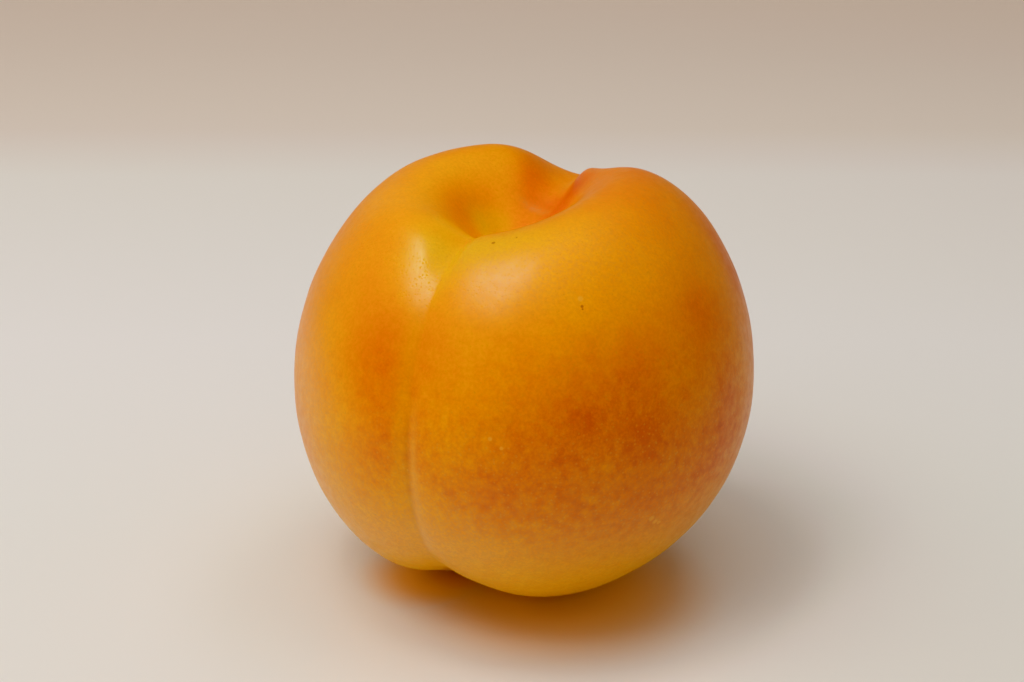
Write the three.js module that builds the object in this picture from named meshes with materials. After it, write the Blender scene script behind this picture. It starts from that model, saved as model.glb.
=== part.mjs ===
// A honey peach: one whole fruit, picked, resting on its blossom end.
// Millimetres, +Z up along the stem axis. The suture faces -Y and the larger cheek faces +X.
// The skin is a star-shaped surface: each point lies at a polar angle down from the stem and at an
// azimuth round the stem, counted from the suture towards the larger cheek.

import * as THREE from "three";
import { mergeVertices } from "three/addons/utils/BufferGeometryUtils.js";

const { degToRad, radToDeg, smoothstep } = THREE.MathUtils;

// Fineness of the faceted skin. Meridians gather at the suture and rings gather at the cavity.
const MERIDIANS = 72;
const RINGS = 57;
const MERIDIANS_TO_SUTURE = 0.15;
const MERIDIANS_TO_BOTH_GROOVES = 0.25;
const RINGS_TO_CAVITY = 0.35;

// Plain body, before grooves and cavity. The shares change the girth round the fruit.
const GIRTH_RADIUS = 38.9;
const GIRTH_SHARE_SUTURE_SIDE = -0.012;
const GIRTH_SHARE_LARGE_CHEEK = 0.036;
const GIRTH_SHARE_OVAL = 0.022;
const GIRTH_SHARE_SKEW = 0.018;
const SHOULDER_HEIGHT = 42.3;
const SHOULDER_SHARE_LARGE_CHEEK = 0.044;
const SHOULDER_SHARE_SUTURE_SIDE = -0.055;
const BASE_DEPTH = 37.9;
const BASE_SHARE_LARGE_CHEEK = -0.043;
const BASE_SHARE_SUTURE_SIDE = -0.014;
const SHOULDER_FULLNESS = 1.96;
const BASE_FULLNESS = 2.03;

// Stem cavity: a wide funnel with a steeper well in it.
const FUNNEL_DEPTH = 10.6;
const FUNNEL_HALF_X = 15.0;
const FUNNEL_HALF_Y = 19.9;
const WELL_DEPTH = 12.0;
const WELL_HALF_X = 9.5;
const WELL_HALF_SUTURE_SIDE = 11.7;
const WELL_HALF_BACK = 12.0;
const WELL_SOFTNESS = 0.85;

// Suture: the groove from the cavity down the front to the blossom end.
// Its banks differ, because the larger cheek bulges over it.
const LIP_NOTCH_DEPTH = 1.4;
const LIP_NOTCH_SMALL_BANK = 3.2;
const LIP_NOTCH_LARGE_BANK = 1.8;
const LIP_NOTCH_ANGLE = 28;
const LIP_NOTCH_SPAN = 12;
const LIP_NOTCH_STEEPNESS = 1.7;
const SUTURE_BEND = -0.5;
const SUTURE_BEND_ANGLE = 30;
const SUTURE_BEND_SPAN = 14;
const CREASE_DEPTH = 0.9;
const CREASE_SMALL_BANK = 4.0;
const CREASE_LARGE_BANK = 2.4;
const CREASE_STEEPNESS = 1.5;
const CREASE_START_ANGLE = 20;
const CREASE_FULL_ANGLE = 40;
const VALLEY_DEPTH = 1.25;
const VALLEY_HALF = 13.8;
const VALLEY_START_ANGLE = 15;
const VALLEY_FULL_ANGLE = 45;
const VALLEY_FADE_ANGLE = 150;
const VALLEY_END_ANGLE = 174;
const TIP_GROOVE_DEPTH = 4.8;
const TIP_GROOVE_HALF = 8.5;
const TIP_GROOVE_ANGLE = 168;
const TIP_GROOVE_SPAN = 32;
const TIP_GROOVE_NARROWING = 0.5;
const TIP_GROOVE_NARROWS_FROM = 150;
const TIP_GROOVE_NARROWS_TO = 172;

// Channel that leaves the cavity at the back, opposite the suture.
const CHANNEL_DEPTH = 3.8;
const CHANNEL_SMALL_BANK = 6.3;
const CHANNEL_LARGE_BANK = 4.0;
const CHANNEL_BEND = -2.0;
const CHANNEL_BEND_START_ANGLE = 16;
const CHANNEL_BEND_END_ANGLE = 40;
const CHANNEL_STEEPNESS_SMALL_BANK = 2.2;
const CHANNEL_STEEPNESS_LARGE_BANK = 3;
const CHANNEL_START_ANGLE = 5;
const CHANNEL_START_SPAN = 15;
const CHANNEL_END_ANGLE = 62;
const CHANNEL_END_SPAN = 35;

// The suture gives way to the channel over this distance either side of the stem axis.
const GROOVE_BLEND = 6;

// The cavity and the dimple act on skin that faces up or down more than this, as a cosine.
const CAP_START = -0.1;
const CAP_FULL = 0.3;

// Blossom end: a dimple with a small raised point, in a ring that the fruit rests on.
const DIMPLE_DEPTH = 2.2;
const DIMPLE_HALF = 6.5;
const POINT_HEIGHT = 0.8;
const POINT_HALF = 1.1;
const HEEL_LIFT_BACK = 0.8;
const HEEL_LIFT_START = -0.6;
const HEEL_LIFT_FULL = 0.9;
const HEEL_DROP_LARGE_CHEEK = 0.45;
const HEEL_ANGLE = 170;
const HEEL_SPAN = 12;
const REST_FLAT_DEPTH = 0.5;

// Stem scar: a low cushion on the floor of the well, with a pit in it.
const SCAR_HEIGHT = 0.9;
const SCAR_HALF = 2.4;
const SCAR_STEEPNESS = 4;
const SCAR_PIT_DEPTH = 1.0;
const SCAR_PIT_HALF = 1.1;

// Gentle swellings and hollows of the shoulders: the height, where it lies, and how far it spreads.
const SHOULDER_SWELLINGS = [
  { height: 0.9, polar: 29, azimuth: -30, polarSpan: 10, azimuthSpan: 21 },
  { height: -2.8, polar: 37, azimuth: 163, polarSpan: 13, azimuthSpan: 26 },
];

const SKIN_COLOUR = 0xd6861c;
const SKIN_ROUGHNESS = 0.42;

// A bell that is 1 at the centre and falls off over the span.
function bell(value, centre, span, steepness = 2) {
  return Math.exp(-(Math.abs((value - centre) / span) ** steepness));
}

// Shortest turn from one azimuth to another, in degrees.
function turnBetween(from, to) {
  return THREE.MathUtils.euclideanModulo(to - from + 180, 360) - 180;
}

// The plain body's distance from the centre: an egg with soft corners.
function bodyRadius(polar, azimuth) {
  const sinPolar = Math.sin(polar);
  const cosPolar = Math.cos(polar);
  const toCheek = Math.sin(azimuth);
  const toSuture = Math.cos(azimuth);
  const girth = GIRTH_RADIUS * (1
    + GIRTH_SHARE_SUTURE_SIDE * toSuture
    + GIRTH_SHARE_LARGE_CHEEK * toCheek
    + GIRTH_SHARE_OVAL * Math.cos(2 * azimuth)
    + GIRTH_SHARE_SKEW * Math.sin(2 * azimuth));
  const upper = cosPolar > 0;
  const tilt = upper
    ? SHOULDER_SHARE_LARGE_CHEEK * toCheek + SHOULDER_SHARE_SUTURE_SIDE * toSuture
    : BASE_SHARE_LARGE_CHEEK * toCheek + BASE_SHARE_SUTURE_SIDE * toSuture;
  const reach = (upper ? SHOULDER_HEIGHT : BASE_DEPTH) * (1 + sinPolar * tilt);
  const fullness = upper ? SHOULDER_FULLNESS : BASE_FULLNESS;
  const wide = Math.abs(sinPolar / girth) ** fullness;
  const tall = Math.abs(cosPolar / reach) ** fullness;
  return (wide + tall) ** (-1 / fullness);
}

// Depth of the suture, from its sideways offset x and the polar angle in degrees.
function sutureDepth(x, polarDeg) {
  const across = x - SUTURE_BEND * bell(polarDeg, SUTURE_BEND_ANGLE, SUTURE_BEND_SPAN);
  const small = across < 0;
  const notchBank = small ? LIP_NOTCH_SMALL_BANK : LIP_NOTCH_LARGE_BANK;
  const notch = LIP_NOTCH_DEPTH * bell(polarDeg, LIP_NOTCH_ANGLE, LIP_NOTCH_SPAN)
    * bell(across, 0, notchBank, LIP_NOTCH_STEEPNESS);
  const creaseBank = small ? CREASE_SMALL_BANK : CREASE_LARGE_BANK;
  const crease = CREASE_DEPTH * smoothstep(polarDeg, CREASE_START_ANGLE, CREASE_FULL_ANGLE)
    * bell(across, 0, creaseBank, CREASE_STEEPNESS);
  const valleyOpening = smoothstep(polarDeg, VALLEY_START_ANGLE, VALLEY_FULL_ANGLE);
  const valleyEnding = smoothstep(polarDeg, VALLEY_FADE_ANGLE, VALLEY_END_ANGLE);
  const valley = VALLEY_DEPTH * valleyOpening * (1 - valleyEnding) * bell(across, 0, VALLEY_HALF);
  const towardsTip = smoothstep(polarDeg, TIP_GROOVE_NARROWS_FROM, TIP_GROOVE_NARROWS_TO);
  const tip = TIP_GROOVE_DEPTH * bell(polarDeg, TIP_GROOVE_ANGLE, TIP_GROOVE_SPAN)
    * bell(across, 0, TIP_GROOVE_HALF * (1 - TIP_GROOVE_NARROWING * towardsTip));
  return notch + crease + valley + tip;
}

// Depth of the channel at the back.
function channelDepth(x, polarDeg) {
  const across = x - CHANNEL_BEND * smoothstep(polarDeg, CHANNEL_BEND_START_ANGLE, CHANNEL_BEND_END_ANGLE);
  const profile = across < 0
    ? bell(across, 0, CHANNEL_SMALL_BANK, CHANNEL_STEEPNESS_SMALL_BANK)
    : bell(across, 0, CHANNEL_LARGE_BANK, CHANNEL_STEEPNESS_LARGE_BANK);
  const opening = smoothstep(polarDeg, CHANNEL_START_ANGLE, CHANNEL_START_ANGLE + CHANNEL_START_SPAN);
  const ending = smoothstep(polarDeg, CHANNEL_END_ANGLE - CHANNEL_END_SPAN, CHANNEL_END_ANGLE);
  return CHANNEL_DEPTH * profile * opening * (1 - ending);
}

// Depth of the stem cavity below the plain body, with the scar that the stem left on its floor.
function cavityDepth(x, y) {
  const wellHalfY = y < 0 ? WELL_HALF_SUTURE_SIDE : WELL_HALF_BACK;
  const funnel = Math.hypot(x / FUNNEL_HALF_X, y / FUNNEL_HALF_Y);
  const well = Math.hypot(x / WELL_HALF_X, y / wellHalfY);
  const fromAxis = Math.hypot(x, y);
  const cushion = SCAR_HEIGHT * bell(fromAxis, 0, SCAR_HALF, SCAR_STEEPNESS);
  const pit = SCAR_PIT_DEPTH * bell(fromAxis, 0, SCAR_PIT_HALF);
  const hollow = FUNNEL_DEPTH * bell(funnel, 0, 1) + WELL_DEPTH * bell(well, 0, 1, 2 * WELL_SOFTNESS);
  return hollow - cushion + pit;
}

// Height of the dimple at the blossom end above the plain body, less the small point in it.
function dimpleHeight(x, y) {
  const fromAxis = Math.hypot(x, y);
  return DIMPLE_DEPTH * bell(fromAxis, 0, DIMPLE_HALF) - POINT_HEIGHT * bell(fromAxis, 0, POINT_HALF);
}

// How far the skin stands out from the plain body on the shoulders and round the blossom end.
function swelling(azimuthDeg, polarDeg) {
  let height = 0;
  for (const rise of SHOULDER_SWELLINGS) {
    const turned = turnBetween(rise.azimuth, azimuthDeg);
    height += rise.height * bell(polarDeg, rise.polar, rise.polarSpan) * bell(turned, 0, rise.azimuthSpan);
  }
  const azimuth = degToRad(azimuthDeg);
  const towardsBack = smoothstep(-Math.cos(azimuth), HEEL_LIFT_START, HEEL_LIFT_FULL);
  const heel = HEEL_DROP_LARGE_CHEEK * Math.sin(azimuth) - HEEL_LIFT_BACK * towardsBack;
  return height + heel * bell(polarDeg, HEEL_ANGLE, HEEL_SPAN);
}

// The skin's point at a polar angle and an azimuth, both in radians.
function skinPoint(polar, azimuth) {
  const polarDeg = radToDeg(polar);
  const radius = bodyRadius(polar, azimuth);
  const outward = new THREE.Vector3(
    Math.sin(polar) * Math.sin(azimuth),
    -Math.sin(polar) * Math.cos(azimuth),
    Math.cos(polar),
  );
  const point = outward.clone().multiplyScalar(radius);
  const front = smoothstep(-point.y, -GROOVE_BLEND, GROOVE_BLEND);
  const dent = front * sutureDepth(point.x, polarDeg) + (1 - front) * channelDepth(point.x, polarDeg);
  point.addScaledVector(outward, swelling(radToDeg(azimuth), polarDeg) - dent);

  // The cavity and the dimple are pushed in along the stem axis.
  const top = smoothstep(outward.z, CAP_START, CAP_FULL);
  const bottom = smoothstep(-outward.z, CAP_START, CAP_FULL);
  point.z += bottom * dimpleHeight(point.x, point.y) - top * cavityDepth(point.x, point.y);
  return point;
}

// A sphere's even grid, drawn closer at the suture and the cavity, and laid on the skin.
function skinGeometry() {
  const geometry = new THREE.SphereGeometry(1, MERIDIANS, RINGS);
  geometry.rotateX(Math.PI / 2);
  geometry.deleteAttribute("normal");
  geometry.deleteAttribute("uv");
  const position = geometry.attributes.position;
  const node = new THREE.Vector3();
  for (let i = 0; i < position.count; i += 1) {
    node.fromBufferAttribute(position, i);
    const evenPolar = Math.acos(THREE.MathUtils.clamp(node.z, -1, 1)) / Math.PI;
    const evenAzimuth = Math.atan2(node.x, -node.y);
    const polar = Math.PI * evenPolar * (1 - RINGS_TO_CAVITY * (1 - evenPolar));
    const azimuth = evenAzimuth - MERIDIANS_TO_SUTURE * Math.sin(evenAzimuth)
      - MERIDIANS_TO_BOTH_GROOVES * Math.sin(2 * evenAzimuth);
    position.setXYZ(i, ...skinPoint(polar, azimuth));
  }
  return mergeVertices(geometry);
}

// The resting ring is pressed flat, then the fruit is stood on z = 0 with its box centred on the axis.
function restOnTable(geometry) {
  const position = geometry.attributes.position;
  geometry.computeBoundingBox();
  const table = geometry.boundingBox.min.z + REST_FLAT_DEPTH;
  for (let i = 0; i < position.count; i += 1) {
    position.setZ(i, Math.max(position.getZ(i), table));
  }
  const centre = geometry.boundingBox.getCenter(new THREE.Vector3());
  geometry.translate(-centre.x, -centre.y, -table);
  geometry.computeVertexNormals();
  return geometry;
}

const skin = new THREE.MeshStandardMaterial({
  color: SKIN_COLOUR,
  roughness: SKIN_ROUGHNESS,
  metalness: 0,
});
const peach = new THREE.Mesh(restOnTable(skinGeometry()), skin);
peach.name = "peach";

const fruit = new THREE.Group();
fruit.add(peach);

export default fruit;
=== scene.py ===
# The looks of a whole honey peach: a fine skin, the skin's colours, a pale table and soft light.
# Metres, in the part's own frame: +Z up the stem axis, suture towards -Y, larger cheek towards +X.
# Polar angles start at the stem end, azimuths at the suture towards the larger cheek, in degrees.

import math

import bpy
import numpy as np
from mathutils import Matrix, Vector, noise


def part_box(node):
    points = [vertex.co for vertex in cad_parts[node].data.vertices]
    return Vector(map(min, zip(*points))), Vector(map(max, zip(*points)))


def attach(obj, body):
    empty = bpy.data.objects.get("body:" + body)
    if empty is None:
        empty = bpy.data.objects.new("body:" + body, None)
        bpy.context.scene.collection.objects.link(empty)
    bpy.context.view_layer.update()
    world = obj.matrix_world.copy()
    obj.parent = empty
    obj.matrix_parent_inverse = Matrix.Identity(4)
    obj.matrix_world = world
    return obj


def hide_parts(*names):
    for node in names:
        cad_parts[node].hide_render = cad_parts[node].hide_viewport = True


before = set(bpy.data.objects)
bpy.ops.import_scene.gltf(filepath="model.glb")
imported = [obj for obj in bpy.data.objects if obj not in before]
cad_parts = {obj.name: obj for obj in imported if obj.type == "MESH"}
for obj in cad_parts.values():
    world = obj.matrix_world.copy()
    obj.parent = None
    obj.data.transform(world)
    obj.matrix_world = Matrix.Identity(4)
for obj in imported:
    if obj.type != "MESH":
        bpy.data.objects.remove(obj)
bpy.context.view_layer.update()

# Fineness of the skin's mesh. Meridians gather at the suture and rings gather at the cavity.
MERIDIANS = 360
RINGS = 270
MERIDIANS_TO_SUTURE = 0.15
MERIDIANS_TO_BOTH_GROOVES = 0.25
RINGS_TO_CAVITY = 0.35

# Plain body, before grooves and cavity, as in the part. The shares change it round the fruit.
GIRTH_RADIUS = 0.0389
GIRTH_SHARE_SUTURE_SIDE = -0.012
GIRTH_SHARE_LARGE_CHEEK = 0.036
GIRTH_SHARE_OVAL = 0.022
GIRTH_SHARE_SKEW = 0.018
SHOULDER_HEIGHT = 0.0423
SHOULDER_SHARE_LARGE_CHEEK = 0.044
SHOULDER_SHARE_SUTURE_SIDE = -0.055
BASE_DEPTH = 0.0379
BASE_SHARE_LARGE_CHEEK = -0.043
BASE_SHARE_SUTURE_SIDE = -0.014
SHOULDER_FULLNESS = 1.96
BASE_FULLNESS = 2.03

# Stem cavity: a wide funnel with a steeper well in it.
FUNNEL_DEPTH = 0.0106
FUNNEL_HALF_X = 0.0150
FUNNEL_HALF_Y = 0.0199
WELL_DEPTH = 0.0120
WELL_HALF_X = 0.0095
WELL_HALF_SUTURE_SIDE = 0.0117
WELL_HALF_BACK = 0.0120
WELL_SOFTNESS = 0.85

# Suture: the groove from the cavity down the front to the blossom end.
LIP_NOTCH_DEPTH = 0.0014
LIP_NOTCH_SMALL_BANK = 0.0032
LIP_NOTCH_LARGE_BANK = 0.0018
LIP_NOTCH_ANGLE = 28
LIP_NOTCH_SPAN = 12
LIP_NOTCH_STEEPNESS = 1.7
SUTURE_BEND = -0.0005
SUTURE_BEND_ANGLE = 30
SUTURE_BEND_SPAN = 14
CREASE_DEPTH = 0.0009
CREASE_SMALL_BANK = 0.0040
CREASE_LARGE_BANK = 0.0024
CREASE_STEEPNESS = 1.5
CREASE_START_ANGLE = 20
CREASE_FULL_ANGLE = 40
VALLEY_DEPTH = 0.00125
VALLEY_HALF = 0.0138
VALLEY_START_ANGLE = 15
VALLEY_FULL_ANGLE = 45
VALLEY_FADE_ANGLE = 150
VALLEY_END_ANGLE = 174
TIP_GROOVE_DEPTH = 0.0048
TIP_GROOVE_HALF = 0.0085
TIP_GROOVE_ANGLE = 168
TIP_GROOVE_SPAN = 32
TIP_GROOVE_NARROWING = 0.5
TIP_GROOVE_NARROWS_FROM = 150
TIP_GROOVE_NARROWS_TO = 172

# Channel that leaves the cavity at the back, opposite the suture.
CHANNEL_DEPTH = 0.0038
CHANNEL_SMALL_BANK = 0.0063
CHANNEL_LARGE_BANK = 0.0040
CHANNEL_BEND = -0.0020
CHANNEL_BEND_START_ANGLE = 16
CHANNEL_BEND_END_ANGLE = 40
CHANNEL_STEEPNESS_SMALL_BANK = 2.2
CHANNEL_STEEPNESS_LARGE_BANK = 3
CHANNEL_START_ANGLE = 5
CHANNEL_START_SPAN = 15
CHANNEL_END_ANGLE = 62
CHANNEL_END_SPAN = 35

# The suture gives way to the channel over this distance either side of the stem axis.
GROOVE_BLEND = 0.006

# The cavity and the dimple act on skin that faces up or down more than this, as a cosine.
CAP_START = -0.1
CAP_FULL = 0.3

# Blossom end: a dimple with a small raised point, in a ring that the fruit rests on.
DIMPLE_DEPTH = 0.0022
DIMPLE_HALF = 0.0065
POINT_HEIGHT = 0.0008
POINT_HALF = 0.0011
HEEL_LIFT_BACK = 0.0008
HEEL_LIFT_START = -0.6
HEEL_LIFT_FULL = 0.9
HEEL_DROP_LARGE_CHEEK = 0.00045
HEEL_ANGLE = 170
HEEL_SPAN = 12
REST_FLAT_DEPTH = 0.0005

# Stem scar: a low cushion on the floor of the well, with a pit in it.
SCAR_HEIGHT = 0.0009
SCAR_HALF = 0.0024
SCAR_STEEPNESS = 4
SCAR_PIT_DEPTH = 0.0010
SCAR_PIT_HALF = 0.0011

# A swelling and a hollow of the shoulders: height, polar angle, azimuth and both spans in degrees.
SHOULDER_SWELLINGS = (
    (0.0009, 29, -30, 10, 21),
    (-0.0028, 37, 163, 13, 26),
)

# Waviness of a real skin: height and size of each octave, and the height over which it sets in.
SKIN_WAVES = ((0.00016, 0.016), (0.00007, 0.006))
SKIN_CALM_HEIGHT = 0.004

# Camera of the photograph: it looks down on the fruit from the larger cheek's side of the suture.
CAMERA_AZIMUTH = 26.8
CAMERA_ELEVATION = 22.6
CAMERA_DISTANCE = 0.470
CAMERA_LENS_MM = 100
CAMERA_SENSOR_MM = 36
CAMERA_AIM = Vector((-0.0027, 0.0005, 0.0405))


def srgb(red, green, blue):
    """A colour given as it looks on a screen, 0 to 255, as linear RGBA."""
    def linear(value):
        share = value / 255
        return share / 12.92 if share <= 0.04045 else ((share + 0.055) / 1.055) ** 2.4
    return (linear(red), linear(green), linear(blue), 1.0)


# The fruit's form, as in the part

def smoothstep(value, low, high):
    """0 up to low, 1 from high on, and a smooth step between them."""
    share = np.clip((value - low) / (high - low), 0, 1)
    return share * share * (3 - 2 * share)


def bell(value, centre, span, steepness=2):
    """1 at the centre, falling off over the span."""
    return np.exp(-np.abs((value - centre) / span) ** steepness)


def turn_between(start, end):
    """Shortest turn from one azimuth to another, in degrees."""
    return (end - start + 180) % 360 - 180


def body_radius(polar, azimuth):
    """The plain body's distance from the centre."""
    to_cheek, to_suture = np.sin(azimuth), np.cos(azimuth)
    girth = GIRTH_RADIUS * (
        1
        + GIRTH_SHARE_SUTURE_SIDE * to_suture
        + GIRTH_SHARE_LARGE_CHEEK * to_cheek
        + GIRTH_SHARE_OVAL * np.cos(2 * azimuth)
        + GIRTH_SHARE_SKEW * np.sin(2 * azimuth)
    )
    upper = np.cos(polar) > 0
    shoulder_tilt = SHOULDER_SHARE_LARGE_CHEEK * to_cheek + SHOULDER_SHARE_SUTURE_SIDE * to_suture
    base_tilt = BASE_SHARE_LARGE_CHEEK * to_cheek + BASE_SHARE_SUTURE_SIDE * to_suture
    tilt = np.where(upper, shoulder_tilt, base_tilt)
    reach = np.where(upper, SHOULDER_HEIGHT, BASE_DEPTH) * (1 + np.sin(polar) * tilt)
    fullness = np.where(upper, SHOULDER_FULLNESS, BASE_FULLNESS)
    wide = np.abs(np.sin(polar) / girth) ** fullness
    tall = np.abs(np.cos(polar) / reach) ** fullness
    return (wide + tall) ** (-1 / fullness)


def suture_depth(x, polar_deg):
    """Depth of the suture: a notch in the lip, a crease, a wide valley and a groove at the tip."""
    across = x - SUTURE_BEND * bell(polar_deg, SUTURE_BEND_ANGLE, SUTURE_BEND_SPAN)
    small = across < 0
    notch_bank = np.where(small, LIP_NOTCH_SMALL_BANK, LIP_NOTCH_LARGE_BANK)
    notch = LIP_NOTCH_DEPTH * bell(polar_deg, LIP_NOTCH_ANGLE, LIP_NOTCH_SPAN)
    notch = notch * bell(across, 0, notch_bank, LIP_NOTCH_STEEPNESS)
    crease_bank = np.where(small, CREASE_SMALL_BANK, CREASE_LARGE_BANK)
    crease = CREASE_DEPTH * smoothstep(polar_deg, CREASE_START_ANGLE, CREASE_FULL_ANGLE)
    crease = crease * bell(across, 0, crease_bank, CREASE_STEEPNESS)
    valley_opening = smoothstep(polar_deg, VALLEY_START_ANGLE, VALLEY_FULL_ANGLE)
    valley_ending = smoothstep(polar_deg, VALLEY_FADE_ANGLE, VALLEY_END_ANGLE)
    valley = VALLEY_DEPTH * valley_opening * (1 - valley_ending) * bell(across, 0, VALLEY_HALF)
    towards_tip = smoothstep(polar_deg, TIP_GROOVE_NARROWS_FROM, TIP_GROOVE_NARROWS_TO)
    tip = TIP_GROOVE_DEPTH * bell(polar_deg, TIP_GROOVE_ANGLE, TIP_GROOVE_SPAN)
    tip = tip * bell(across, 0, TIP_GROOVE_HALF * (1 - TIP_GROOVE_NARROWING * towards_tip))
    return notch + crease + valley + tip


def channel_depth(x, polar_deg):
    """Depth of the channel that leaves the cavity at the back."""
    bend = smoothstep(polar_deg, CHANNEL_BEND_START_ANGLE, CHANNEL_BEND_END_ANGLE)
    across = x - CHANNEL_BEND * bend
    profile = np.where(
        across < 0,
        bell(across, 0, CHANNEL_SMALL_BANK, CHANNEL_STEEPNESS_SMALL_BANK),
        bell(across, 0, CHANNEL_LARGE_BANK, CHANNEL_STEEPNESS_LARGE_BANK),
    )
    opening = smoothstep(polar_deg, CHANNEL_START_ANGLE, CHANNEL_START_ANGLE + CHANNEL_START_SPAN)
    ending = smoothstep(polar_deg, CHANNEL_END_ANGLE - CHANNEL_END_SPAN, CHANNEL_END_ANGLE)
    return CHANNEL_DEPTH * profile * opening * (1 - ending)


def cavity_depth(x, y):
    """Depth of the stem cavity below the plain body, with the stem's scar on its floor."""
    well_half_y = np.where(y < 0, WELL_HALF_SUTURE_SIDE, WELL_HALF_BACK)
    funnel = np.hypot(x / FUNNEL_HALF_X, y / FUNNEL_HALF_Y)
    well = np.hypot(x / WELL_HALF_X, y / well_half_y)
    from_axis = np.hypot(x, y)
    cushion = SCAR_HEIGHT * bell(from_axis, 0, SCAR_HALF, SCAR_STEEPNESS)
    pit = SCAR_PIT_DEPTH * bell(from_axis, 0, SCAR_PIT_HALF)
    hollow = FUNNEL_DEPTH * bell(funnel, 0, 1) + WELL_DEPTH * bell(well, 0, 1, 2 * WELL_SOFTNESS)
    return hollow - cushion + pit


def dimple_height(x, y):
    """Height of the dimple at the blossom end above the plain body, less the small point in it."""
    from_axis = np.hypot(x, y)
    point = POINT_HEIGHT * bell(from_axis, 0, POINT_HALF)
    return DIMPLE_DEPTH * bell(from_axis, 0, DIMPLE_HALF) - point


def swelling(azimuth, polar_deg):
    """Height of the shoulders' swellings, and of the heel round the blossom end."""
    height = np.zeros_like(polar_deg)
    for top, at_polar, at_azimuth, polar_span, azimuth_span in SHOULDER_SWELLINGS:
        turned = turn_between(at_azimuth, np.degrees(azimuth))
        lift = top * bell(polar_deg, at_polar, polar_span) * bell(turned, 0, azimuth_span)
        height = height + lift
    towards_back = smoothstep(-np.cos(azimuth), HEEL_LIFT_START, HEEL_LIFT_FULL)
    heel = HEEL_DROP_LARGE_CHEEK * np.sin(azimuth) - HEEL_LIFT_BACK * towards_back
    return height + heel * bell(polar_deg, HEEL_ANGLE, HEEL_SPAN)


def skin_points(polar, azimuth):
    """Points of the skin and outward directions, for polar angles and azimuths in radians."""
    polar_deg = np.degrees(polar)
    outward = np.stack([
        np.sin(polar) * np.sin(azimuth), -np.sin(polar) * np.cos(azimuth), np.cos(polar)], -1)
    radius = body_radius(polar, azimuth)
    x, y = outward[..., 0] * radius, outward[..., 1] * radius
    front = smoothstep(-y, -GROOVE_BLEND, GROOVE_BLEND)
    dent = front * suture_depth(x, polar_deg) + (1 - front) * channel_depth(x, polar_deg)
    points = outward * (radius + swelling(azimuth, polar_deg) - dent)[..., None]
    top = smoothstep(outward[..., 2], CAP_START, CAP_FULL)
    bottom = smoothstep(-outward[..., 2], CAP_START, CAP_FULL)
    x, y = points[..., 0], points[..., 1]
    points[..., 2] += bottom * dimple_height(x, y) - top * cavity_depth(x, y)
    return points, outward


def skin_grid():
    """Polar angles and azimuths of the mesh's points: a pole, the rings, and the other pole."""
    even_polar = np.arange(1, RINGS) / RINGS
    even_azimuth = np.arange(MERIDIANS) / MERIDIANS * 2 * np.pi - np.pi
    polar = np.pi * even_polar * (1 - RINGS_TO_CAVITY * (1 - even_polar))
    azimuth = (
        even_azimuth
        - MERIDIANS_TO_SUTURE * np.sin(even_azimuth)
        - MERIDIANS_TO_BOTH_GROOVES * np.sin(2 * even_azimuth)
    )
    polar, azimuth = (grid.ravel() for grid in np.meshgrid(polar, azimuth, indexing="ij"))
    return np.r_[0, polar, np.pi], np.r_[0, azimuth, 0]


def skin_faces():
    """Quads between rings and triangles at the poles, facing out."""
    last = (RINGS - 1) * MERIDIANS + 1
    faces = []
    for m in range(MERIDIANS):
        n = (m + 1) % MERIDIANS
        faces.append((0, 1 + m, 1 + n))
        faces.append((last, last - MERIDIANS + n, last - MERIDIANS + m))
    for r in range(RINGS - 2):
        upper, lower = 1 + r * MERIDIANS, 1 + (r + 1) * MERIDIANS
        for m in range(MERIDIANS):
            n = (m + 1) % MERIDIANS
            faces.append((upper + m, lower + m, lower + n, upper + n))
    return faces


# Where the colours lie

# Redness of the skin: 0 is yellow, 1 is deep red. Each spot adds to the evenly orange ground.
GROUND_REDNESS = 0.44

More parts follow.
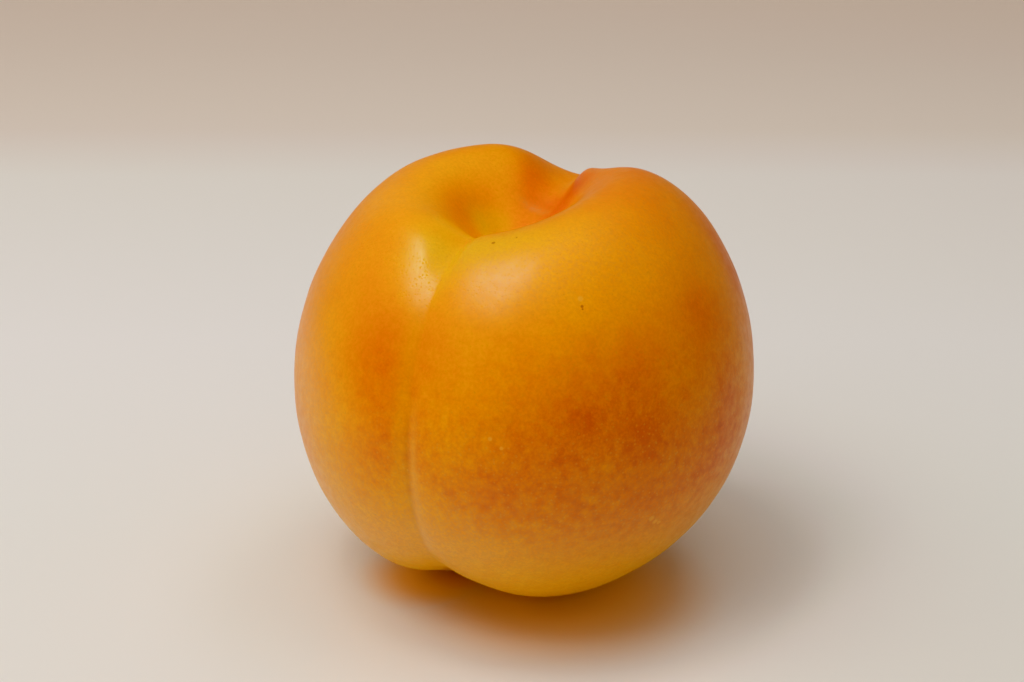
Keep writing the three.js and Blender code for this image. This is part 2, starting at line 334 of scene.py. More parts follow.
# Polar angle, azimuth, half height, half width, redness added.
REDNESS_AND_PAINTED_SHADE_SPOTS = (
    # Round the cavity and in the channel.
    (7, -135, 0.0022, 0.0024, -0.20),
    (7, -80, 0.0018, 0.0030, -0.60),
    (10, -142, 0.0024, 0.0032, -0.18),
    (10, -52, 0.0018, 0.0024, -0.24),
    # Painted shade: the cavity's left wall, darker and redder where it turns away from the light.
    (11.5, -84, 0.0026, 0.0066, 0.26),
    (13, -168, 0.0022, 0.0030, -0.20),
    (15, 150, 0.0034, 0.0028, 0.22),
    (17, -112, 0.0030, 0.0060, -0.10),
    (18, -165, 0.0030, 0.0030, -0.12),
    (18, -162, 0.0060, 0.0022, 0.32),
    (18, -145, 0.0050, 0.0026, -0.10),
    (18, 165, 0.0050, 0.0044, 0.46),
    (20, -14, 0.0034, 0.0036, -0.50),
    (21, -115, 0.0034, 0.0120, -0.24),
    (24, -168, 0.0070, 0.0036, 0.26),
    (24, -50, 0.0040, 0.0080, -0.14),
    (27, 105, 0.0075, 0.0110, 0.22),
    # The smaller cheek.
    (30, -60, 0.0080, 0.0170, -0.20),
    (57, -17, 0.0080, 0.0056, 0.12),
    (80, -38, 0.0200, 0.0100, -0.26),
    (90, -22, 0.0140, 0.0060, -0.08),
    (99, -27, 0.0080, 0.0060, -0.16),
    # Along the suture.
    (42, -8, 0.0080, 0.0050, -0.28),
    (70, -12, 0.0100, 0.0055, 0.16),
    (72, -2, 0.0120, 0.0045, 0.18),
    (72, 6, 0.0090, 0.0040, 0.10),
    (90, -8, 0.0105, 0.0042, 0.12),
    (104, -4, 0.0100, 0.0090, -0.12),
    (106, -12, 0.0060, 0.0060, 0.10),
    (113, -14, 0.0080, 0.0140, -0.24),
    (118, -8, 0.0050, 0.0070, 0.12),
    # The larger cheek.
    (36, 42, 0.0060, 0.0110, -0.16),
    (44, 18, 0.0070, 0.0090, -0.24),
    (44, 40, 0.0080, 0.0120, -0.14),
    (50, 52, 0.0080, 0.0140, -0.14),
    (56, 111, 0.0070, 0.0045, 0.24),
    (58, 60, 0.0090, 0.0090, 0.10),
    (61, 84, 0.0048, 0.0058, 0.14),
    (70, 14, 0.0080, 0.0080, -0.16),
    (72, 86, 0.0170, 0.0070, 0.16),
    (74, 56, 0.0050, 0.0036, 0.16),
    (76, 34, 0.0090, 0.0120, 0.14),
    (79, 42, 0.0024, 0.0022, 0.18),
    (81, 28, 0.0040, 0.0030, 0.12),
    (84, 58, 0.0165, 0.0200, 0.22),
    (84, 86, 0.0060, 0.0045, 0.08),
    (85, 55, 0.0042, 0.0042, 0.26),
    (91, 33, 0.0070, 0.0110, 0.14),
    (98, 19, 0.0050, 0.0050, 0.10),
    (98, 26, 0.0060, 0.0080, 0.10),
    (98, 77, 0.0060, 0.0065, 0.08),
    (104, 58, 0.0100, 0.0180, 0.17),
    (113, 42, 0.0060, 0.0120, -0.04),
    (114, 54, 0.0055, 0.0150, 0.17),
    (117, 79, 0.0040, 0.0045, 0.18),
    (118, 10, 0.0070, 0.0120, -0.20),
    # The side away from the camera.
    (40, -110, 0.0100, 0.0160, -0.08),
    (60, -140, 0.0110, 0.0090, 0.22),
    (66, 128, 0.0120, 0.0100, 0.30),
    (70, -96, 0.0120, 0.0075, 0.18),
    (72, 170, 0.0095, 0.0080, 0.26),
    (76, 166, 0.0040, 0.0030, 0.20),
    (84, -128, 0.0110, 0.0090, 0.24),
    (84, 146, 0.0100, 0.0110, 0.34),
    (88, -126, 0.0040, 0.0034, 0.20),
    (88, 138, 0.0040, 0.0050, 0.22),
    (92, -168, 0.0100, 0.0120, 0.26),
    (96, -90, 0.0080, 0.0080, 0.14),
    (110, -130, 0.0090, 0.0300, -0.16),
    (112, 150, 0.0080, 0.0250, -0.14),
)

# Greenish yellow round the cavity's mouth and at the suture's upper end, with its strength last.
GREENISH_SPOTS = (
    (5, 0, 0.0050, 0.0050, 0.60),
    (8, -128, 0.0020, 0.0026, 0.60),
    (8, -96, 0.0026, 0.0036, 0.85),
    (31, 12, 0.0030, 0.0080, 0.40),
    (32, 36, 0.0040, 0.0100, 0.35),
    (33, -12, 0.0030, 0.0030, 0.40),
    (34, 12, 0.0056, 0.0080, 0.75),
    (35, -10, 0.0060, 0.0050, 0.60),
    (37, 15, 0.0040, 0.0070, 0.28),
    (43, -3, 0.0050, 0.0032, 0.42),
)

# Pale, slightly pink bloom, partly painted sheen and painted light on the lit skin, with its
# strength last.
BLOOM_AND_PAINTED_SHEEN_SPOTS = (
    # The shoulders and the cavity.
    # Painted highlight: a small glint in the cavity.
    (15.5, -171, 0.0012, 0.0028, 0.90),
    (20, -118, 0.0030, 0.0120, 0.25),
    (24, 150, 0.0040, 0.0050, 0.40),
    (27, 100, 0.0060, 0.0090, 0.20),
    (28, -70, 0.0060, 0.0120, 0.40),
    (38, 56, 0.0080, 0.0120, 0.30),
    (40, 92, 0.0120, 0.0120, 0.22),
    (42, 24, 0.0060, 0.0120, 0.55),
    (46, 40, 0.0080, 0.0130, 0.30),
    (48, -62, 0.0110, 0.0110, 0.50),
    # Low on the cheeks.
    (98, 74, 0.0110, 0.0130, 0.12),
    (106, -26, 0.0110, 0.0140, 0.62),
    (106, 46, 0.0110, 0.0230, 0.48),
    (108, 12, 0.0090, 0.0110, 0.60),
    (113, -2, 0.0060, 0.0100, 0.45),
    (119, -8, 0.0060, 0.0100, 0.45),
    # The cheeks' sides.
    (60, 98, 0.0120, 0.0060, 0.30),
    (64, -48, 0.0120, 0.0080, 0.45),
    (82, -30, 0.0120, 0.0060, 0.30),
    (84, -42, 0.0120, 0.0080, 0.60),
    # The side away from the camera.
    (100, -70, 0.0090, 0.0120, 0.55),
    (102, 120, 0.0090, 0.0140, 0.60),
    (104, -120, 0.0090, 0.0160, 0.60),
    (106, 175, 0.0080, 0.0150, 0.55),
)

# Where bloom dulls the gloss, with its strength last.
DULL_SPOTS = (
    (37, 35, 0.0060, 0.0066, 0.50),
    (43, 46, 0.0060, 0.0060, 0.30),
)

# Small marks on the larger cheek: polar angle, azimuth, half size.
DARK_MARKS = (
    (31, 17, 0.00036),
    (30, 27, 0.00018),
    (53, 45, 0.00028),
    (53.7, 44.8, 0.00018),
)
PALE_MARKS = (
    (51.6, 45, 0.00050),
    (82, 21, 0.00040),
    (84, 24, 0.00034),
    (107, 61, 0.00060),
    (108.5, 62.5, 0.00050),
    (109, 64, 0.00040),
)

# A mark fades from its core to its rim, as shares of its half size.
MARK_CORE = 0.5
MARK_RIM = 1.2

# The pores stand out where the shoulders shine, and less on the larger cheek.
SHOULDER_PORES_ANGLE = 42
SHOULDER_PORES_SPAN = 12
SHOULDER_PORES_LESS = 0.45

# Flecks and mottle grow from a least share down the fruit, and are weaker on the smaller cheek.
FLECKS_LEAST = 0.20
FLECKS_GROW = (50, 105)
FLECKS_LESS = 0.35
FLECKS_LESS_WITHIN = 0.012

# Colours along the suture: place across it, half width, polar angles where each starts and ends.
CREASE_PLACE, CREASE_HALF = -0.0012, 0.0017
CREASE_START = (40, 60)
# The line is painted shade in the suture's crease.
LINE_PLACE, LINE_HALF = 0.0001, 0.00060
LINE_START = (66, 92)
LINE_WEAKENS = (108, 128)
LINE_WEAKENS_BY = 0.6
LINE_END = (150, 172)
# The strip is painted light on the larger cheek's bank beside the crease, which faces the light.
STRIP_PLACE, STRIP_HALF = 0.0013, 0.00075
STRIP_START = (70, 92)
STRIP_END = (112, 130)

# The base is yellower, and further down less red too, between these polar angles.
BASE_YELLOW_FROM = (98, 120)
BASE_LESS_RED_FROM = (112, 145)
BASE_LESS_RED = 0.44

# The brown of the stem scar and of the blossom end's point: how steep its edge is, and its spread.
SCAR_EDGE = 6
TIP_EDGE = 4
TIP_SPREAD = 1.3

# Spots are laid out on a ball of this radius. Nearer a pole than this angle they narrow no further.
MEAN_RADIUS = 0.038
NARROWEST_POLAR = 12


def spot_strengths(polar, azimuth, spots):
    """The soft-edged share of each spot at every point, times the spot's own amount."""
    for at_polar, at_azimuth, half_height, half_width, amount in spots:
        up = MEAN_RADIUS * (polar - math.radians(at_polar))
        turned = np.radians(turn_between(at_azimuth, np.degrees(azimuth)))
        across = MEAN_RADIUS * np.sin(np.maximum(polar, math.radians(NARROWEST_POLAR))) * turned
        yield amount * np.exp(-(up / half_height) ** 2 - (across / half_width) ** 2)


def covered(polar, azimuth, spots):
    """How much each point lies under a set of spots, 0 to 1."""
    clear = np.ones_like(polar)
    for strength in spot_strengths(polar, azimuth, spots):
        clear = clear * (1 - strength)
    return 1 - clear


def colour_fields(polar, azimuth, points):
    """Named fields that the skin's material reads, one number for each point."""
    polar_deg = np.degrees(polar)
    x, y = points[:, 0], points[:, 1]
    front = smoothstep(-y, -GROOVE_BLEND, GROOVE_BLEND)
    across = x - SUTURE_BEND * bell(polar_deg, SUTURE_BEND_ANGLE, SUTURE_BEND_SPAN)
    from_axis = np.hypot(x, y)
    upper, lower = polar_deg < 90, polar_deg > 90
    crease = smoothstep(polar_deg, *CREASE_START) * bell(across, CREASE_PLACE, CREASE_HALF)
    line = smoothstep(polar_deg, *LINE_START) * (1 - smoothstep(polar_deg, *LINE_END))
    line = line * (1 - LINE_WEAKENS_BY * smoothstep(polar_deg, *LINE_WEAKENS))
    line = line * bell(across, LINE_PLACE, LINE_HALF)
    strip = smoothstep(polar_deg, *STRIP_START) * (1 - smoothstep(polar_deg, *STRIP_END))
    strip = strip * bell(across, STRIP_PLACE, STRIP_HALF)
    flecks = FLECKS_LEAST + (1 - FLECKS_LEAST) * smoothstep(polar_deg, *FLECKS_GROW)
    shoulder = bell(polar_deg, SHOULDER_PORES_ANGLE, SHOULDER_PORES_SPAN)
    redness = GROUND_REDNESS + sum(spot_strengths(polar, azimuth, REDNESS_AND_PAINTED_SHADE_SPOTS))
    return {
        "redness": redness - BASE_LESS_RED * smoothstep(polar_deg, *BASE_LESS_RED_FROM),
        "greenish": covered(polar, azimuth, GREENISH_SPOTS),
        "bloom_and_painted_sheen": covered(polar, azimuth, BLOOM_AND_PAINTED_SHEEN_SPOTS),
        "dull": covered(polar, azimuth, DULL_SPOTS),
        "flecks": flecks * (1 - FLECKS_LESS * smoothstep(-x, 0, FLECKS_LESS_WITHIN)),
        "shoulder": shoulder * (1 - SHOULDER_PORES_LESS * (x > 0)),
        "crease": front * crease,
        "suture_painted_shade": front * line,
        "suture_painted_light": front * strip,
        "base": smoothstep(polar_deg, *BASE_YELLOW_FROM),
        "scar": bell(from_axis, 0, SCAR_HALF, SCAR_EDGE) * upper,
        "tip": bell(from_axis, 0, POINT_HALF * TIP_SPREAD, TIP_EDGE) * lower,
    }


def make_skin(name):
    """The whole skin as one closed mesh, with the colour fields as attributes of its points."""
    polar, azimuth = skin_grid()
    points, outward = skin_points(polar, azimuth)
    fields = colour_fields(polar, azimuth, points)
    table = points[:, 2].min() + REST_FLAT_DEPTH
    calm = smoothstep(points[:, 2], table, table + SKIN_CALM_HEIGHT)
    for height, size in SKIN_WAVES:
        wave = np.array([noise.noise(Vector(point) / size) for point in points])
        points += outward * (height * wave * calm)[:, None]
    points[:, 2] = np.maximum(points[:, 2], table)

    # The skin stands on the table in the middle of the solid's box.
    low, high = (np.array(corner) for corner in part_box("peach"))
    shift = (low + high) / 2 - (points.min(0) + points.max(0)) / 2
    shift[2] = low[2] - table
    points += shift

    mesh = bpy.data.meshes.new(name)
    mesh.from_pydata(points.tolist(), [], skin_faces())
    mesh.polygons.foreach_set("use_smooth", [True] * len(mesh.polygons))
    for field, values in fields.items():
        attribute = mesh.attributes.new(field, "FLOAT", "POINT")
        attribute.data.foreach_set("value", values.astype(np.float32))
    mesh.update()
    piece = bpy.data.objects.new(name, mesh)
    bpy.context.scene.collection.objects.link(piece)
    return piece


def marks_on_skin(mesh, marks, share):
    """Each mark as a patch round the point of the skin's mesh nearest to it."""
    polar, azimuth = skin_grid()
    for at_polar, at_azimuth, half_size in marks:
        up = polar - math.radians(at_polar)
        across = np.sin(polar) * np.radians(turn_between(at_azimuth, np.degrees(azimuth)))
        nearest = int(np.argmin(up ** 2 + across ** 2))
        fade = (half_size * MARK_CORE, half_size * MARK_RIM)
        yield mesh.vertices[nearest].co.copy(), fade, share


# Materials

class Nodes:
    """Short ways to build one material's node tree."""

    def __init__(self, name):
        self.material = bpy.data.materials.new(name)
        self.material.use_nodes = True
        self.tree = self.material.node_tree
        self.shader = self.tree.nodes["Principled BSDF"]

    def add(self, kind, settings=(), inputs=()):
        """A new node with the given properties and inputs."""
        node = self.tree.nodes.new(kind)
        for key, value in dict(settings).items():
            setattr(node, key, value)
        for key, value in dict(inputs).items():
            self.feed(node.inputs[key], value)
        return node

    def feed(self, socket, value):
        """Link an output to the input, or set its value."""
        if isinstance(value, bpy.types.NodeSocket):
            self.tree.links.new(value, socket)
        else:
            socket.default_value = value

    def math(self, operation, *values):
        node = self.add("ShaderNodeMath", {"operation": operation})
        for socket, value in zip(node.inputs, values):
            self.feed(socket, value)
        return node.outputs[0]

    def mix(self, amount, low, high):
        """One colour turned into another by the amount."""
        node = self.add("ShaderNodeMix", {"data_type": "RGBA"})
        self.feed(node.inputs[0], amount)
        self.feed(node.inputs[6], low)
        self.feed(node.inputs[7], high)
        return node.outputs[2]

    def ramp(self, value, low, high, out_low=0.0, out_high=1.0):
        """A smooth step from one output to the other, between a low and a high value."""
        node = self.add("ShaderNodeMapRange", {"interpolation_type": "SMOOTHSTEP"})
        for socket, number in zip(node.inputs, (value, low, high, out_low, out_high)):
            self.feed(socket, number)
        return node.outputs[0]

    def field(self, name):
        """One of the number fields of the mesh's points."""
        return self.add("ShaderNodeAttribute", {"attribute_name": name}).outputs["Fac"]

    def colour_ramp(self, amount, stops):
        """The colour at an amount, between stops of place and colour."""
        node = self.add("ShaderNodeValToRGB", (), {"Fac": amount})
        elements = node.color_ramp.elements
        while len(elements) < len(stops):
            elements.new(0.5)
        for element, (place, colour) in zip(elements, stops):
            element.position = place
            element.color = colour
        return node.outputs["Color"]

    def dots(self, where, spacing, radius, bare, strength):
        """Round soft dots, one in each of the cells that aren't bare, of uneven strength."""
        cells = self.add("ShaderNodeTexVoronoi", (), {"Vector": where, "Scale": 1 / spacing})
        chances = self.add("ShaderNodeSeparateColor", (), {"Color": cells.outputs["Color"]})
        dot = self.ramp(cells.outputs["Distance"], radius * DOT_CORE, radius, strength, 0.0)
        return self.math("MULTIPLY", dot, self.ramp(chances.outputs[0], bare, 1.0))

    def soft_patches(self, where, patches):
        """How much each place lies in round patches: middle, where the patch fades, its share."""
        covering = 0.0
        for middle, fade, share in patches:
            away = self.add("ShaderNodeVectorMath", {"operation": "DISTANCE"})
            self.feed(away.inputs[0], where)
            self.feed(away.inputs[1], middle)
            patch = self.ramp(away.outputs["Value"], *fade, share, 0.0)
            covering = self.math("MAXIMUM", covering, patch)
        return covering

    def noise(self, where, size, detail, roughness):
        """Noise from about 0 to 1 with features of the given size in metres."""
        node = self.add("ShaderNodeTexNoise", (), {
            "Vector": where, "Scale": 1 / size, "Detail": detail, "Roughness": roughness})
        return node.outputs["Fac"]


# Skin colours from yellow to deep red, and the amount of redness at which each is reached.
SKIN_RAMP = (
    (0.00, srgb(250, 174, 6)),
    (0.25, srgb(244, 156, 4)),
    (0.50, srgb(238, 138, 3)),
    (0.75, srgb(230, 114, 3)),
    (1.00, srgb(217, 86, 4)),
)
GREEN_YELLOW = srgb(230, 182, 48)
CREASE_YELLOW = srgb(235, 158, 8)
# Painted light on the suture's lit bank, and painted shade in its crease.
STRIP_PAINTED_LIGHT = srgb(244, 184, 78)
LINE_PAINTED_SHADE = srgb(168, 88, 8)
BASE_YELLOW = srgb(254, 192, 88)
BLOOM_AND_PAINTED_SHEEN_PINK = srgb(238, 164, 98)
SCAR_BROWN = srgb(172, 122, 70)
FLECK_PALE = srgb(250, 188, 92)
PORE_DARK = srgb(190, 92, 4)
MARK_DARK = srgb(164, 58, 4)

# Colours laid over the ramp one after another: field, share where the field is full, colour.
LAID_OVER = (
    ("greenish", 0.90, GREEN_YELLOW),
    ("crease", 0.35, CREASE_YELLOW),
    ("base", 0.50, BASE_YELLOW),
    # The suture's strip is painted light and its line painted shade.
    ("suture_painted_light", 0.38, STRIP_PAINTED_LIGHT),
    ("suture_painted_shade", 0.20, LINE_PAINTED_SHADE),
)
PORE_SHARE = 0.24
PALE_MARK_SHARE = 0.50
DARK_MARK_SHARE = 0.65

# The skin's unevenness: size of the features, detail and roughness of each noise.
CLOUDS = (0.0100, 3.0, 0.5)
MOTTLE = (0.0017, 3.0, 0.6)
GRAIN = (0.00050, 2.0, 0.6)
PEEL = (0.0011, 2.0, 0.5)

# How much redness each adds between its darkest and palest parts. Two of them grow with the flecks.
CLOUD_REDNESS = 0.40
MOTTLE_REDNESS_IN_FLECKS = 1.00
GRAIN_REDNESS_EVERYWHERE = 0.0832
GRAIN_REDNESS_IN_FLECKS = 0.2028

# What the grain and the mottle do between their low and high values.
GRAIN_RANGE, GRAIN_SHADE = (0.25, 0.75), (1.04, 0.96)
BLOOM_AND_SHEEN_GRAIN_RANGE, BLOOM_AND_SHEEN_GRAIN_SHARE = (0.30, 0.70), (0.30, 0.80)
MOTTLE_RANGE, SKIN_ROUGHNESS = (0.30, 0.70), (0.32, 0.40)

# Flecks and pores: spacing, radius as a share of the spacing, share of cells left bare, strength.
# A dot is at full strength in its core, a share of its radius.
DOT_CORE = 1 / 3
FINE_FLECKS = (0.00065, 0.38, 0.20, 0.46)
LARGE_FLECKS = (0.00150, 0.19, 0.45, 0.22)
PORES = (0.00065, 0.34, 0.15, 0.75)
SHOULDER_PORES = (0.00048, 0.48, 0.0, 1.2)

# The gloss, the share of it that a pore takes, and the depths of the fine relief.
GLOSS = 0.80
PORE_DULLNESS = 0.55
PORE_DEPTH = 0.000026
PEEL_DEPTH = 0.000010
GRAIN_DEPTH = PEEL_DEPTH / 3

# Light that the flesh lets through and scatters, the tint of the gloss, and a faint sheen of down.
SKIN_SHADER = (
    ("Subsurface Weight", 0.20),
    ("Subsurface Radius", (1.0, 0.40, 0.10)),
    ("Subsurface Scale", 0.004),
    ("Specular Tint", (0.85, 1.0, 0.85, 1.0)),
    ("Sheen Weight", 0.05),
    ("Sheen Roughness", 0.40),
    ("Sheen Tint", srgb(255, 220, 170)),
)


def skin_material(mesh):
    """The peach's skin, by the colour fields of its mesh and fine noise."""
    nodes = Nodes("peach_skin")
    where = nodes.add("ShaderNodeTexCoord").outputs["Object"]
    layers = (CLOUDS, MOTTLE, GRAIN, PEEL)
    clouds, mottle, grain, peel = (nodes.noise(where, *layer) for layer in layers)

    # Yellow to red by the redness field, unevenly by clouds, mottle and grain.
    redness = nodes.field("redness")
    in_mottle = nodes.math("MULTIPLY", nodes.field("flecks"), MOTTLE_REDNESS_IN_FLECKS)
    in_grain = nodes.math(
        "MULTIPLY_ADD", nodes.field("flecks"), GRAIN_REDNESS_IN_FLECKS, GRAIN_REDNESS_EVERYWHERE)
    for pattern, amount in ((clouds, CLOUD_REDNESS), (mottle, in_mottle), (grain, in_grain)):
        redness = nodes.math("MULTIPLY_ADD", nodes.math("SUBTRACT", pattern, 0.5), amount, redness)
    colour = nodes.colour_ramp(redness, SKIN_RAMP)
    for field, share, laid in LAID_OVER:
        colour = nodes.mix(nodes.math("MULTIPLY", nodes.field(field), share), colour, laid)

    # Pale bloom and painted sheen, with the fine grain in it.
    bloom_and_sheen_grain = nodes.ramp(grain, *BLOOM_AND_SHEEN_GRAIN_RANGE, *BLOOM_AND_SHEEN_GRAIN_SHARE)
    colour = nodes.mix(nodes.math("MULTIPLY", nodes.field("bloom_and_painted_sheen"), bloom_and_sheen_grain), colour, BLOOM_AND_PAINTED_SHEEN_PINK)

    # Pale flecks, darker pores, single marks, and the brown scar and point.
    for kind in (FINE_FLECKS, LARGE_FLECKS):
        flecks = nodes.math("MULTIPLY", nodes.dots(where, *kind), nodes.field("flecks"))
        colour = nodes.mix(flecks, colour, FLECK_PALE)
    dark_pores = nodes.math("MULTIPLY", nodes.dots(where, *PORES), PORE_SHARE)
    colour = nodes.mix(dark_pores, colour, PORE_DARK)
    for marks, share, laid in (
        (PALE_MARKS, PALE_MARK_SHARE, FLECK_PALE),
        (DARK_MARKS, DARK_MARK_SHARE, MARK_DARK),
    ):
        marked = nodes.soft_patches(where, marks_on_skin(mesh, marks, share))
        colour = nodes.mix(marked, colour, laid)
    for field in ("scar", "tip"):
        colour = nodes.mix(nodes.field(field), colour, SCAR_BROWN)

    shade = nodes.add("ShaderNodeVectorMath", {"operation": "SCALE"})
    nodes.feed(shade.inputs[0], colour)
    nodes.feed(shade.inputs["Scale"], nodes.ramp(grain, *GRAIN_RANGE, *GRAIN_SHADE))
    nodes.feed(nodes.shader.inputs["Base Color"], shade.outputs[0])

    # Satin gloss that the pores on the shoulders break up.
    pores = nodes.math("MULTIPLY", nodes.dots(where, *SHOULDER_PORES), nodes.field("shoulder"))
    pores = nodes.math("MINIMUM", pores, 1.0)
    gloss = nodes.math("MULTIPLY_ADD", pores, -GLOSS * PORE_DULLNESS, GLOSS)
    gloss = nodes.math("MULTIPLY", gloss, nodes.math("SUBTRACT", 1.0, nodes.field("dull")))
    nodes.feed(nodes.shader.inputs["Specular IOR Level"], gloss)
    nodes.feed(nodes.shader.inputs["Roughness"], nodes.ramp(mottle, *MOTTLE_RANGE, *SKIN_ROUGHNESS))

    # A very fine orange-peel relief, with the pores sunk in it.
    relief = nodes.math("MULTIPLY", peel, PEEL_DEPTH)
    relief = nodes.math("MULTIPLY_ADD", grain, GRAIN_DEPTH, relief)
    relief = nodes.math("MULTIPLY_ADD", pores, -PORE_DEPTH, relief)
    bump = nodes.add("ShaderNodeBump", (), {"Strength": 1.0, "Distance": 1.0, "Height": relief})
    nodes.feed(nodes.shader.inputs["Normal"], bump.outputs["Normal"])
    for socket, value in SKIN_SHADER:
        nodes.shader.inputs[socket].default_value = value
    return nodes.material


# Table, light and camera

def studio(right, away, height):
    """A place given from the camera's point of view: to the right, away from the camera, and up."""
    turn = math.radians(CAMERA_AZIMUTH)
    across = Vector((math.cos(turn), math.sin(turn), 0)) * right
    return across + Vector((-math.sin(turn), math.cos(turn), 0)) * away + Vector((0, 0, height))


# The sheet's colour by distance beyond the fruit, away from the camera.
# Painted shade: a little darker at the front, and darker and browner far behind, where less light
# falls.
SHEET_COLOURS_WITH_PAINTED_SHADE = (
    (-0.10, srgb(234, 227, 217)),
    (0.02, srgb(237, 234, 226)),
    (0.10, srgb(242, 237, 231)),
    (0.20, srgb(243, 236, 227)),
    (0.235, srgb(238, 224, 210)),
    (0.34, srgb(234, 215, 198)),
)
SHEET_RAMP_START = -0.10
SHEET_RAMP_LENGTH = 0.50
SHEET_ROUGHNESS = 0.36

# Painted warm bounce light in the contact shade: middle (right, away, height), where each fades,
# its share.
SHEET_PAINTED_BOUNCE_LIGHT = srgb(255, 190, 92)
SHEET_PAINTED_BOUNCE_PATCHES = (
    ((0.006, -0.010, 0), (0.008, 0.030), 0.68),
    ((-0.015, -0.004, 0), (0.004, 0.015), 0.80),
)


def paper_material():
    """Pale satin paper, browner far behind the fruit by painted shade, with painted warm bounce
    light in the contact shade under it.
    """
    nodes = Nodes("pale_paper")
    where = nodes.add("ShaderNodeTexCoord").outputs["Object"]
    away = nodes.add("ShaderNodeVectorMath", {"operation": "DOT_PRODUCT"})
    nodes.feed(away.inputs[0], where)
    nodes.feed(away.inputs[1], studio(0, 1, 0))
    along = nodes.math("SUBTRACT", away.outputs["Value"], SHEET_RAMP_START)
    along = nodes.math("DIVIDE", along, SHEET_RAMP_LENGTH)
    stops = [
        ((distance - SHEET_RAMP_START) / SHEET_RAMP_LENGTH, colour)
        for distance, colour in SHEET_COLOURS_WITH_PAINTED_SHADE
    ]
    patches = [(studio(*middle), fade, share) for middle, fade, share in SHEET_PAINTED_BOUNCE_PATCHES]
    # Painted warm bounce light on the sheet round the fruit's foot.
    painted_bounce_light = nodes.soft_patches(where, patches)
    colour = nodes.mix(painted_bounce_light, nodes.colour_ramp(along, stops), SHEET_PAINTED_BOUNCE_LIGHT)
    nodes.feed(nodes.shader.inputs["Base Color"], colour)
    nodes.shader.inputs["Roughness"].default_value = SHEET_ROUGHNESS
    return nodes.material


# Table and backdrop: one sheet that runs level under the fruit and curves up far behind it.
SWEEP_HALF_WIDTH = 2.0
SWEEP_NEAR = 1.2
SWEEP_LEVEL_BEHIND = 0.30
SWEEP_CURVE = 0.9
SWEEP_CURVE_STEPS = 24
SWEEP_RISE = 1.2


def make_sweep():
    """The sheet, square to the camera, as a strip of quads along its profile."""
    profile = [(-SWEEP_NEAR, 0.0), (SWEEP_LEVEL_BEHIND, 0.0)]
    for step in range(1, SWEEP_CURVE_STEPS + 1):
        turn = math.radians(90 * step / SWEEP_CURVE_STEPS)
        along, up = SWEEP_CURVE * math.sin(turn), SWEEP_CURVE * (1 - math.cos(turn))
        profile.append((SWEEP_LEVEL_BEHIND + along, up))
    profile.append((SWEEP_LEVEL_BEHIND + SWEEP_CURVE, SWEEP_CURVE + SWEEP_RISE))
    points = [
        studio(side, distance, height)
        for distance, height in profile
        for side in (-SWEEP_HALF_WIDTH, SWEEP_HALF_WIDTH)
    ]
    faces = [(2 * i, 2 * i + 1, 2 * i + 3, 2 * i + 2) for i in range(len(profile) - 1)]
    mesh = bpy.data.meshes.new("sweep")
    mesh.from_pydata(points, [], faces)
    mesh.polygons.foreach_set("use_smooth", [True] * len(mesh.polygons))
    sweep = bpy.data.objects.new("sweep", mesh)
    bpy.context.scene.collection.objects.link(sweep)
    sweep.data.materials.append(paper_material())


# Overhead softboxes, seen in the skin's gloss: place (right, away, height), size, power in watts.
SOFTBOXES = (
    ("softbox_left_front", (-0.275, -0.235, 0.70), (0.22, 0.19), 0.60),
    ("softbox_left", (-0.36, -0.02, 0.70), (0.18, 0.26), 0.38),
    ("softbox_centre", (-0.215, -0.045, 0.70), (0.16, 0.22), 0.30),
    ("softbox_small", (-0.150, -0.035, 0.69), (0.11, 0.14), 0.36),
)

# Pale ceiling, too dull to show in the gloss: the same values.
CEILING = (
    ("ceiling_left_front", (-0.27, -0.37, 0.70), (0.40, 0.14), 0.54),
    ("ceiling_middle", (0.01, 0.00, 0.70), (0.24, 0.28), 0.38),
    ("ceiling_right", (0.23, 0.145, 0.70), (0.20, 0.57), 0.70),
)

# Reflectors and pale walls, aimed at the fruit and too dull to show in the gloss: the same values.
REFLECTORS = (
    ("reflector_left", (-0.62, 0.00, 0.62), (0.45, 0.35), 0.66),
    ("reflector_left_front", (-0.44, -0.44, 0.62), (0.45, 0.35), 0.60),
    ("reflector_low_left", (-0.55, -0.60, 0.16), (0.5, 0.25), 0.36),
    ("reflector_front", (0.00, -0.62, 0.62), (0.45, 0.35), 0.34),
    ("wall_front", (0.00, -1.10, 0.42), (1.0, 0.6), 0.44),
    ("wall_left_back", (-0.80, 0.80, 0.55), (1.0, 0.6), 0.95),
    ("wall_right", (1.10, 0.00, 0.55), (1.0, 0.6), 0.82),
)
LIGHT_AIM = Vector((0, 0, 0.03))
ROOM_STRENGTH = 0.23


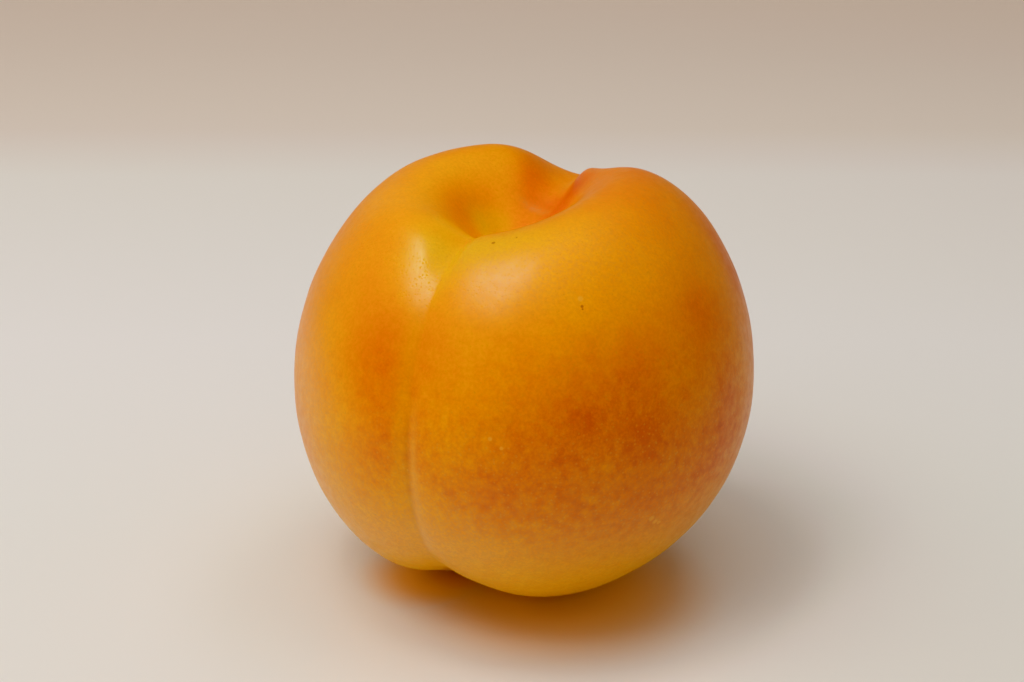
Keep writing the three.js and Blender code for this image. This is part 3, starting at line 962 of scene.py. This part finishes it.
def add_light(name, place, size, power):
    """A rectangle of white light that faces down, and isn't seen in the gloss."""
    light = bpy.data.lights.new(name, "AREA")
    light.shape = "RECTANGLE"
    light.size, light.size_y = size
    light.energy = power
    lamp = bpy.data.objects.new(name, light)
    lamp.location = studio(*place)
    lamp.rotation_euler = (0, 0, math.radians(CAMERA_AZIMUTH))
    lamp.visible_glossy = False
    bpy.context.scene.collection.objects.link(lamp)
    return lamp


def add_lights():
    """The studio's lamps, and an even white room round them."""
    for values in SOFTBOXES:
        add_light(*values).visible_glossy = True
    for values in CEILING:
        add_light(*values)
    for values in REFLECTORS:
        lamp = add_light(*values)
        lamp.rotation_euler = (LIGHT_AIM - lamp.location).to_track_quat("-Z", "Y").to_euler()
    world = bpy.data.worlds.new("room")
    world.use_nodes = True
    background = world.node_tree.nodes["Background"]
    background.inputs["Color"].default_value = (1.0, 1.0, 1.0, 1.0)
    background.inputs["Strength"].default_value = ROOM_STRENGTH
    bpy.context.scene.world = world


def add_camera():
    """The photograph's camera, on a line through the point that it aims at."""
    data = bpy.data.cameras.new("camera")
    data.lens = CAMERA_LENS_MM
    data.sensor_width = CAMERA_SENSOR_MM
    camera = bpy.data.objects.new("camera", data)
    tilt = math.radians(CAMERA_ELEVATION)
    back = studio(0, -math.cos(tilt), math.sin(tilt))
    camera.location = CAMERA_AIM + back * CAMERA_DISTANCE
    camera.rotation_euler = (-back).to_track_quat("-Z", "Y").to_euler()
    bpy.context.scene.collection.objects.link(camera)
    bpy.context.scene.camera = camera


# Taken off each channel, so that saturated orange keeps almost no blue, even in the shade.
BLACK_LEVEL = (0.018, 0.018, 0.018)


def set_tone(view):
    """A plain view transform, and the photograph's deep colours by the black level."""
    view.view_transform = "Khronos PBR Neutral"
    view.use_curve_mapping = True
    view.curve_mapping.black_level = BLACK_LEVEL
    view.curve_mapping.update()


skin = make_skin("peach_skin")
skin.data.materials.append(skin_material(skin.data))
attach(skin, "root")
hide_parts("peach")
make_sweep()
add_lights()
add_camera()
set_tone(bpy.context.scene.view_settings)
